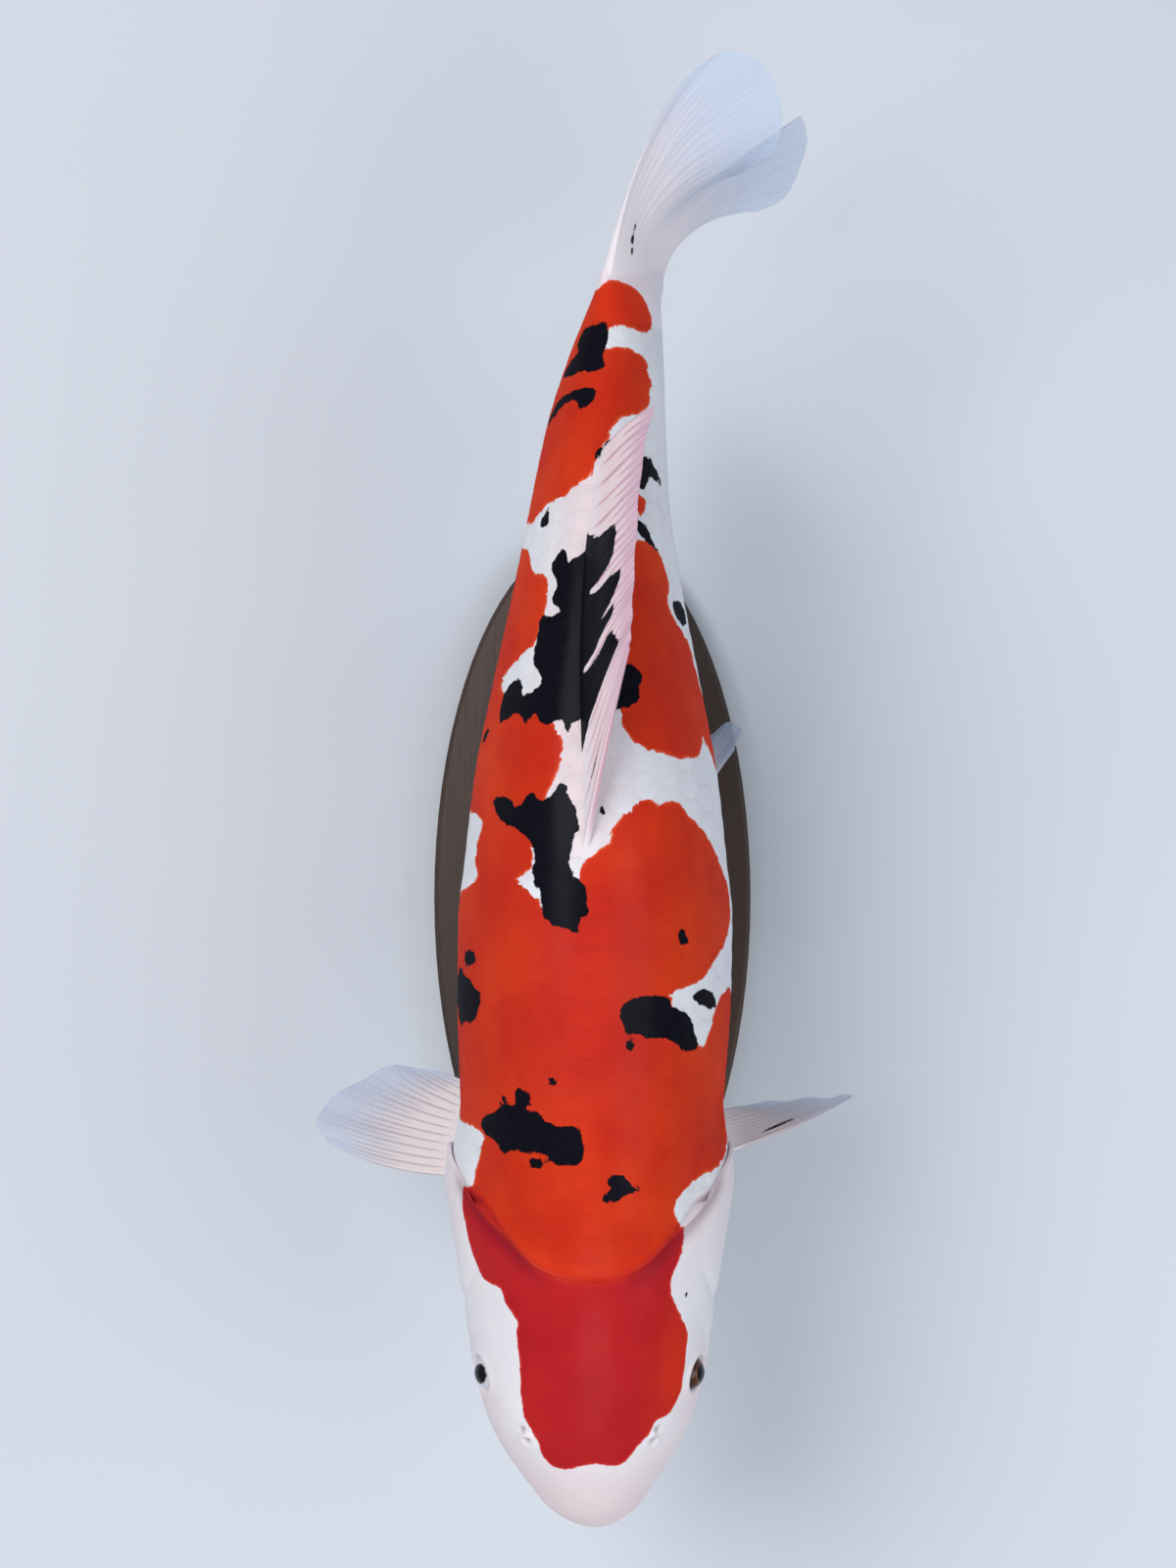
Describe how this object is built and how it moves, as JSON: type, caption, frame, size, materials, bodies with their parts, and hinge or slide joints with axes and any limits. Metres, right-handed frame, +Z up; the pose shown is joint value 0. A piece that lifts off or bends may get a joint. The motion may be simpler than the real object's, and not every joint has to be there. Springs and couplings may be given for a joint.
{
  "type": "koi carp model",
  "caption": "Life-size still model of a swimming red, white and black koi carp, held above a flat oval base by rods that end in its belly.",
  "frame": {"origin": "centre of the stand's flat underside, on the floor", "axes": "+Y from the head to the tail, +Z up through the back, +X to the fish's left side"},
  "size_m": [0.2421, 0.6241, 0.2772],
  "materials": {
    "head_skin": "smooth wet skin, deep red cap on milky white",
    "white_skin": "smooth wet skin, milky white with a pink tinge",
    "body_skin": "wet scaled skin, orange red on white with black blotches",
    "fin_membrane": "thin pale membrane over pinkish rays",
    "eye": "polished, dark, with a thin metallic ring",
    "stand_wood": "dark stained, satin lacquer",
    "stand_steel": "brushed"
  },
  "bodies": {
    "root": {"head": "head_skin", "lower_jaw": "white_skin", "gill_cover_left": "white_skin", "gill_cover_right": "white_skin", "trunk": "body_skin", "tail_stem": "body_skin", "eye_left": "eye", "eye_right": "eye", "dorsal_fin": "fin_membrane", "anal_fin": "fin_membrane", "caudal_fin": "fin_membrane", "pectoral_fin_left": "fin_membrane", "pectoral_fin_right": "fin_membrane", "pelvic_fin_left": "fin_membrane", "pelvic_fin_right": "fin_membrane", "barbel_front_left": "white_skin", "barbel_front_right": "white_skin", "barbel_rear_left": "white_skin", "barbel_rear_right": "white_skin", "stand_base": "stand_wood", "stand_rod_front": "stand_steel", "stand_rod_rear": "stand_steel"}
  },
  "joints": []
}
